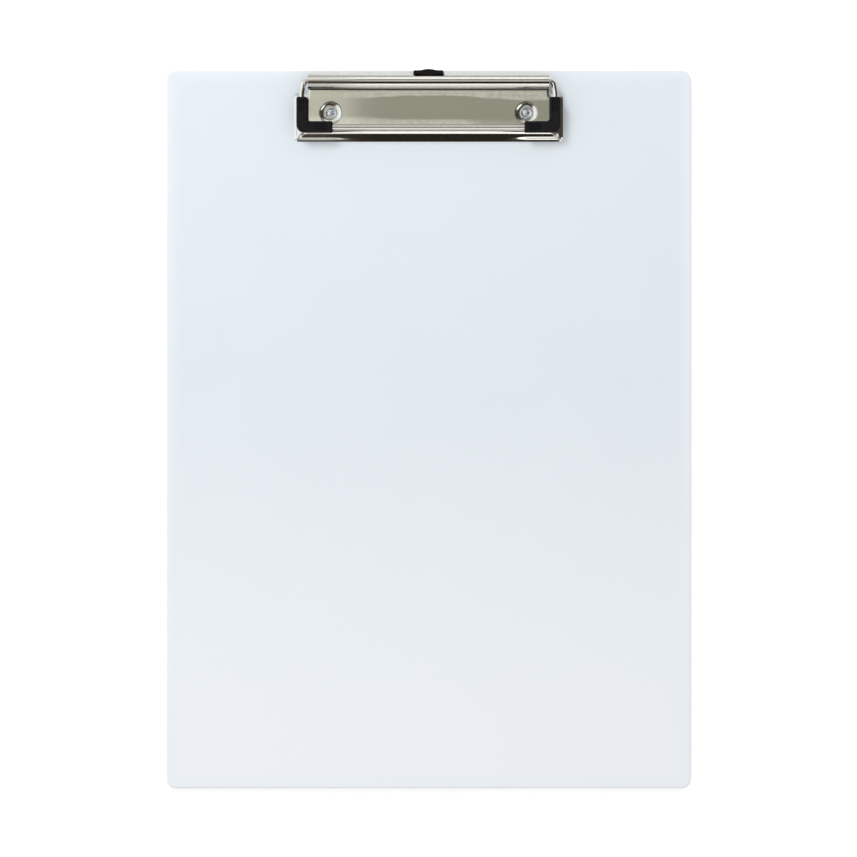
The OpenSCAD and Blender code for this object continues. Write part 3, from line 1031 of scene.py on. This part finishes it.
def build_rivet(node, x):
    """A semi-tubular rivet: a flat back head, and a front end rolled over by the setting tool."""
    low = rivet_low.z
    head = rivet_high.z
    profile = [(r, low + z) for r, z in BACK_HEAD] + [(r, head - z) for r, z in ROLLED_END]
    shell = Shell()
    rings = []
    for r, z in profile:
        rolled = smoothstep(head - 0.6, head - 0.1, z) if r > ROLLED_FROM_R else 0.0
        ring = []
        for a in angles_round(60):
            split = SPLIT_DEPTH * rolled * max(0.0, math.cos(SPLITS * a + x)) ** 6
            ripple = RIPPLE * math.sin(3 * a + 7 * r + x) if r < BORE_R else 0.0
            reach = r - split
            ring.append((x + reach * math.cos(a), rivet_y + reach * math.sin(a), z - split + ripple))
        rings.append(shell.ring(ring))
    shell.skin(rings)
    shell.fan(rings[0], (x, rivet_y, low))
    shell.fan(rings[-1], (x, rivet_y, head - 0.32))
    make_piece(node + "_set", shell, rivet_material, node, "base", sharp=50)


# ---- wire lever and grips

# the lever lies in a plane that falls a little to the front; the tube's axis is at y = 0 in it
LEVER_FALL = math.radians(1.7)
WIRE_R = 1.15
LEVER_REACH = 20.2
lever_plane = Matrix.Translation(axis) @ Matrix.Rotation(LEVER_FALL, 4, "X")


def build_lever():
    """The wire: from one pin in the tube round its shoulder and the front corner to the other pin."""
    half = [(17.0, 0.0), (54.5, 0.0), (55.5, -5.7), (55.1, -LEVER_REACH)]
    bends = [0.0, 2.2, 8.0, 3.2]
    points = half + [(-x, y) for x, y in reversed(half)]
    shell = Shell()
    sweep(shell, filleted(points, bends + bends[::-1], math.radians(5)), WIRE_R, 32)
    shell.place(lever_plane)
    make_piece("wire_lever_bent", shell, wire_material, "wire_lever", "lever")


# half a grip's thickness, its rounded edge, and its outline in the lever's plane
GRIP_T = 2.0
GRIP_EDGE = 0.7
GRIP_CORNER_R = 3.4
GRIP_OUT_X = 57.7
GRIP_IN_X = 52.9
GRIP_END_X = 41.9
GRIP_REAR_Y = -7.1
GRIP_FRONT_Y = -22.7
GRIP_BACK_Y = -17.7
SIDE_GROOVE = (-13.6, -8.0)
FRONT_GROOVE = (44.1, 49.3)
GROOVE_PITCH = 1.0
GROOVE_W = 0.5
GROOVE_DEPTH = 0.35


def groove(shell, x0, y0, x1, y1, face):
    """A round-ended groove sunk into a grip's face; gives the ring that the face leaves open."""
    corners = rectangle(x0, y0, x1, y1, GROOVE_W / 2)
    wall = [(-0.09, 0.0), (-0.03, 0.025), (0.0, 0.09), (0.03, GROOVE_DEPTH - 0.1), (0.12, GROOVE_DEPTH)]
    pairs = [(inset, face * (GRIP_T - depth)) for inset, depth in wall]
    mouth, bottom = swept_wall(shell, corners, pairs, 5)
    shell.fan(bottom, ((x0 + x1) / 2, (y0 + y1) / 2, face * (GRIP_T - GROOVE_DEPTH)))
    return mouth


def build_grip(node, s):
    """A rubber corner moulded over the wire, with three grooves along each leg on both faces."""
    shell = Shell()
    corners = [(GRIP_END_X, GRIP_FRONT_Y, 0.7), (GRIP_OUT_X, GRIP_FRONT_Y, GRIP_CORNER_R),
               (GRIP_OUT_X, GRIP_REAR_Y, 0.9), (GRIP_IN_X, GRIP_REAR_Y, 0.9),
               (GRIP_IN_X, GRIP_BACK_Y, 1.5), (GRIP_END_X, GRIP_BACK_Y, 0.7)]
    side_mid = (GRIP_IN_X + GRIP_OUT_X) / 2
    half_w = GROOVE_W / 2
    holes = {-1: [], 1: []}
    for face, rings in holes.items():
        for k in (-1, 0, 1):
            x = side_mid + k * GROOVE_PITCH
            y = k * GROOVE_PITCH - LEVER_REACH
            rings.append(groove(shell, x - half_w, SIDE_GROOVE[0], x + half_w, SIDE_GROOVE[1], face))
            rings.append(groove(shell, FRONT_GROOVE[0], y - half_w, FRONT_GROOVE[1], y + half_w, face))
    wall = rounded_wall(-GRIP_T, GRIP_T, GRIP_EDGE, GRIP_EDGE, 6, 0.12)
    slab(shell, corners, wall, 10, holes[-1], holes[1])
    shell.place(lever_plane @ Matrix.Diagonal((s, 1, 1, 1)))
    make_piece(node + "_moulded", shell, rubber_material, node, "lever")


# ---- springs

# the coils lie round the lever's pins, in the tube
SPRING_WIRE_R = 0.6
COIL_R = 1.85
COIL_START = 18.3
COIL_TURNS = 24
COIL_PITCH = 1.3
coil_end = COIL_START + COIL_TURNS * COIL_PITCH


def build_spring(node, s):
    """A torsion spring round one pin, from its tang in the pin to its tang in the plate."""

    def coil_at(turns):
        a = math.radians(270) + 2 * math.pi * turns
        return Vector((COIL_START + COIL_PITCH * turns, COIL_R * math.cos(a), COIL_R * math.sin(a)))

    steps = 18
    joined = 0.13
    inner = [(COIL_START, 0, COIL_R), (COIL_START, 0, 0.0)]
    inner += curve_join((COIL_START, 0, -0.9), (COIL_START, 0.1, -COIL_R), coil_at(joined))
    turns = spread(joined, COIL_TURNS - joined, steps * COIL_TURNS)[1:-1]
    outer = curve_join(coil_at(COIL_TURNS - joined), (coil_end, -0.1, -COIL_R), (coil_end, 0, -2.7))
    outer += [(coil_end, 0, -3.35)]
    shell = Shell()
    sweep(shell, inner + [coil_at(t) for t in turns] + outer, SPRING_WIRE_R, 10, 0.12)
    shell.place(Matrix.Translation(axis) @ Matrix.Diagonal((s, 1, 1, 1)))
    piece = make_piece(node + "_coil", shell, spring_material, node)
    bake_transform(piece)


# ---- hanging hook

HOOK_HALF = 6.6
NECK_HALF = 3.5
TONGUE_T = 1.5
STOP_HALF = 10.0
STOP_L = 3.0
SLOT_HALF = 4.0
SLOT_R = 2.25
LIP_HALF_T = 1.025
LIP_END_R = 0.75
LIP_BLEND = 0.35
LIP_TRIM = 0.02
BULGE_R = 8.84
BULGE_HALF_T = 1.6
HOOK_EDGE = 0.15
slot_y = axis.y - 4.1
neck_y = axis.y + 1.3
lip_y = axis.y + 3.625


def lip_outline(inset):
    """The pull lip from above: a bar with round ends that swells into a lens in the middle."""
    points = []
    for a in spread(0.0, math.pi, 44):
        x = (inset - HOOK_HALF) * math.cos(a)
        bar = LIP_HALF_T - inset
        past = abs(x) - (HOOK_HALF - LIP_END_R)
        if past > 0:
            r = max(LIP_END_R - inset, SHARPEST_R)
            bar += math.sqrt(max(0.0, r * r - past * past)) - r
        lens = math.sqrt(BULGE_R ** 2 - x * x) - BULGE_R + BULGE_HALF_T - inset
        points.append((x, smooth_max(bar, lens, LIP_BLEND) - LIP_TRIM))
    return [(x, lip_y - y) for x, y in points] + [(x, lip_y + y) for x, y in reversed(points)]


def add_tongue(shell, low):
    """The hook's flat tongue, with a T-shaped stop in front, a hanging slot and a neck to the lip."""
    high = low + TONGUE_T
    stop_y = hook_low.y + STOP_L
    half = [(STOP_HALF, hook_low.y, 0.8), (STOP_HALF, stop_y, 0.5), (HOOK_HALF, stop_y, 0.4),
            (HOOK_HALF, neck_y, 0.5), (NECK_HALF, neck_y, 0.3), (NECK_HALF, lip_y, 0.3)]
    corners = half + [(-x, y, r) for x, y, r in reversed(half)]
    slot = rectangle(-SLOT_HALF, slot_y - SLOT_R, SLOT_HALF, slot_y + SLOT_R, SLOT_R)
    slot_wall = [(-HOOK_EDGE, low), (0.0, low + HOOK_EDGE), (0.0, high - HOOK_EDGE), (-HOOK_EDGE, high)]
    slot_low, slot_high = swept_wall(shell, slot, slot_wall, 12)
    wall = rounded_wall(low, high, HOOK_EDGE, HOOK_EDGE, 3, 0.1)
    slab(shell, corners, wall, 6, [slot_low], [slot_high])


def add_lip(shell, low):
    rings = []
    for inset, z in rounded_wall(low, hook_high.z, HOOK_EDGE, 0.4, 5, 0.12):
        rings.append(shell.ring([(x, y, z) for x, y in lip_outline(inset)]))
    shell.skin(rings)
    shell.cap(rings[0])
    shell.cap(rings[-1])


def build_hook():
    """The sliding hook: its tongue, and the pull lip that closes the tongue's rear end."""
    shell = Shell()
    add_tongue(shell, hook_low.z)
    add_lip(shell, hook_low.z)
    make_piece("hanging_hook_moulded", shell, hook_material, "hanging_hook", "hook")


build_board()
build_plate()
build_rivet("rivet_left", -rivet_x)
build_rivet("rivet_right", rivet_x)
build_lever()
build_grip("grip_left", -1)
build_grip("grip_right", 1)
build_spring("spring_left", -1)
build_spring("spring_right", 1)
build_hook()


# ---- floor, light and camera

FLOOR_HALF = 3.0
FLOOR_GAP = 0.0002
FLOOR_GLOW = 0.3


def build_floor():
    """A plain pale floor just under the board, a little brighter to the camera than it is lit."""
    mesh = bpy.data.meshes.new("floor")
    s = FLOOR_HALF
    mesh.from_pydata([(-s, -s, 0), (s, -s, 0), (s, s, 0), (-s, s, 0)], [], [(0, 1, 2, 3)])
    material, tree = start_material("pale_floor")
    tone = tree.noise(tree.place(), 60.0)
    colour = tree.blend(tone, (0.9, 0.9, 0.9), (0.93, 0.93, 0.93))
    seen = tree.add("LightPath").outputs["Is Camera Ray"]
    end_material(material, tree, colour, 0.9, {
        "Specular IOR Level": 0.1, "Emission Color": (1, 1, 1, 1),
        "Emission Strength": tree.times(seen, FLOOR_GLOW)})
    mesh.materials.append(material)
    floor = new_object("floor", mesh)
    floor.location.z = cad_low.z - FLOOR_GAP


# The light and dark parts of the room, as the plate mirrors them. Over the middle of the clip they
# are bands that run from left to right, by the angle from straight up, in degrees towards the
# board's foot. To the sides the room is bright or dark by how a direction leans to the left and rear.
STUDIO = [
    (-180, 0.5), (-112, 0.5), (-100, 0.8), (-88, 0.95), (-72, 0.95), (-66, 0.42), (-54, 0.42), (-50, 1.1),
    (-26, 1.5), (-24, 0.03), (-13.3, 0.03), (-12.0, (0.8, 0.81, 0.73)), (-9.4, (0.8, 0.81, 0.73)),
    (-6.8, (0.365, 0.362, 0.283)), (-3.5, (0.37, 0.366, 0.29)), (0, (0.78, 0.77, 0.72)), (15, 0.5),
    (19, (0.02, 0.015, 0.011)), (46.5, (0.02, 0.015, 0.011)), (49, 1.9), (57, 1.9),
    (60, (0.98, 0.91, 0.82)), (74, (0.9, 0.84, 0.76)), (79, 1.3), (88, 1.2), (100, 0.8), (180, 0.5)]
STUDIO_SPAN = 2.0
SIDE_FROM = 0.04
SIDE_TO = 0.16
LEFTWARD = 0.8
REARWARD = 0.6
BRIGHT_LEAN = (0.02, 0.22)
NEAR_MIDDLE = (0.2, 0.6)
REAR_LEAN = (0.4, 0.7)
FOOT_LEAN = (-0.5, -0.75)
STUDIO_NEAR = (1.05, 1.05, 0.93)
STUDIO_BRIGHT = (1.22, 1.28, 1.38)
STUDIO_DARK = (0.075, 0.06, 0.048)
STUDIO_REAR = (0.62, 0.64, 0.66)
STUDIO_FOOT = (0.4, 0.395, 0.37)
WINDOW_AT = (0.55, -0.38, 0.74)
WINDOW_EDGE = (0.955, 0.975)
WINDOW_GLOW = (1.5, 1.5, 1.45)
SOFT_COLOUR = (0.985, 0.99, 1.0, 1.0)
SOFT_LIGHT = 0.79
BACKDROP = (0.97, 0.97, 0.98, 1.0)


def studio_bands(tree, xyz):
    """The bands over the middle, by a direction's angle from straight up."""
    angle = tree.math("ARCTAN2", tree.times(xyz[1], -1.0), xyz[2])
    turn = tree.plus(tree.times(angle, 0.5 / math.pi), 0.5)
    stops = []
    for degrees, tone in STUDIO:
        rgb = tone if isinstance(tone, tuple) else (tone,) * 3
        stops.append((degrees / 360 + 0.5, tuple(c / STUDIO_SPAN for c in rgb)))
    return tree.blend(1.0, tree.ramp(turn, stops), (STUDIO_SPAN,) * 3, "MULTIPLY")


def studio_sides(tree, direction, xyz):
    """The room to the sides: bright to the left and rear, dark to the right, with one window."""
    lean = tree.plus(tree.times(xyz[0], -LEFTWARD), tree.times(xyz[1], REARWARD))
    away = tree.step(tree.size(xyz[0]), *NEAR_MIDDLE)
    bright = tree.blend(away, STUDIO_NEAR, STUDIO_BRIGHT)
    sides = tree.blend(tree.step(lean, *BRIGHT_LEAN), STUDIO_DARK, bright)
    window = {0: direction, 1: Vector(WINDOW_AT).normalized()}
    facing = tree.add("VectorMath", window, operation="DOT_PRODUCT").outputs["Value"]
    sides = tree.blend(tree.step(facing, *WINDOW_EDGE), sides, WINDOW_GLOW)
    sides = tree.blend(tree.step(xyz[1], *REAR_LEAN), sides, STUDIO_REAR)
    return tree.blend(tree.step(xyz[1], *FOOT_LEAN), sides, STUDIO_FOOT)


def glow(tree, colour, strength=1.0):
    return tree.add("Background", {"Color": colour, "Strength": strength}).outputs[0]


def mix_shader(tree, fac, a, b):
    return tree.add("MixShader", {0: fac, 1: a, 2: b}).outputs[0]


def build_studio():
    """Plain soft light from all round, and the light and dark parts that bright metal mirrors."""
    world = bpy.data.worlds.new("studio")
    bpy.context.scene.world = world
    world.use_nodes = True
    tree = Nodes(world.node_tree)
    direction = tree.add("TexCoord").outputs["Generated"]
    xyz = tree.split(direction)
    off_middle = tree.step(tree.size(xyz[0]), SIDE_FROM, SIDE_TO)
    room = tree.blend(off_middle, studio_bands(tree, xyz), studio_sides(tree, direction, xyz))
    path = tree.add("LightPath").outputs
    lit = mix_shader(tree, path["Is Glossy Ray"], glow(tree, SOFT_COLOUR, SOFT_LIGHT), glow(tree, room))
    final = mix_shader(tree, path["Is Camera Ray"], lit, glow(tree, BACKDROP))
    tree.add("OutputWorld", {"Surface": final})


KEY_AT = (-0.55, 0.98, 1.0)
KEY_AIM = (0.0, 0.1, 0.0)
KEY_SIZE = 0.45
KEY_POWER = 10.5


def build_key_light():
    """A soft square light over the board's rear left. The metal doesn't mirror it."""
    data = bpy.data.lights.new("key", "AREA")
    data.shape = "SQUARE"
    data.size = KEY_SIZE
    data.energy = KEY_POWER
    light = new_object("key", data)
    light.location = KEY_AT
    light.rotation_mode = "QUATERNION"
    light.rotation_quaternion = (Vector(KEY_AIM) - Vector(KEY_AT)).to_track_quat("-Z", "Y")
    light.visible_glossy = False


CAMERA_AT = (0.0, 0.0003, 1.503)
CAMERA_LENS = 143.66


def build_camera():
    """The camera looks straight down on the middle of the board."""
    data = bpy.data.cameras.new("camera")
    data.sensor_width = 36.0
    data.lens = CAMERA_LENS
    data.clip_start = 0.05
    data.clip_end = 20.0
    camera = new_object("camera", data)
    camera.location = CAMERA_AT
    bpy.context.scene.camera = camera


build_floor()
build_studio()
build_key_light()
build_camera()
bpy.context.scene.view_settings.view_transform = "Standard"
